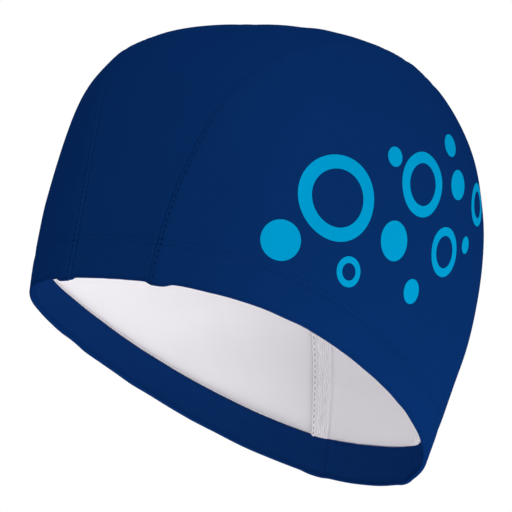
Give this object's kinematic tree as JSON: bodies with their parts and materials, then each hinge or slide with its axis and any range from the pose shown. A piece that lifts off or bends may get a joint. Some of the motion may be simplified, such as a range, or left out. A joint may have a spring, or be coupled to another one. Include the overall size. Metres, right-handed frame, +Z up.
{
  "type": "swim cap",
  "caption": "Fitted fabric swim cap of three sewn panels with a turned-in stitched hem, open below, shown filled as on a head.",
  "frame": {"origin": "middle of the head opening: midway between the front and back of the rim, at the rim's mean height", "axes": "+Z up through the crown, -Y towards the forehead, +X towards the wearer's left, the side with the print"},
  "size_m": [0.156, 0.2031, 0.1422],
  "materials": {
    "cap_cloth": "satin",
    "cloth_edges": "matte"
  },
  "bodies": {
    "root": {"centre_panel": "cap_cloth", "left_side_panel": "cap_cloth", "right_side_panel": "cap_cloth", "left_seam_allowance": "cloth_edges", "right_seam_allowance": "cloth_edges"}
  },
  "joints": []
}
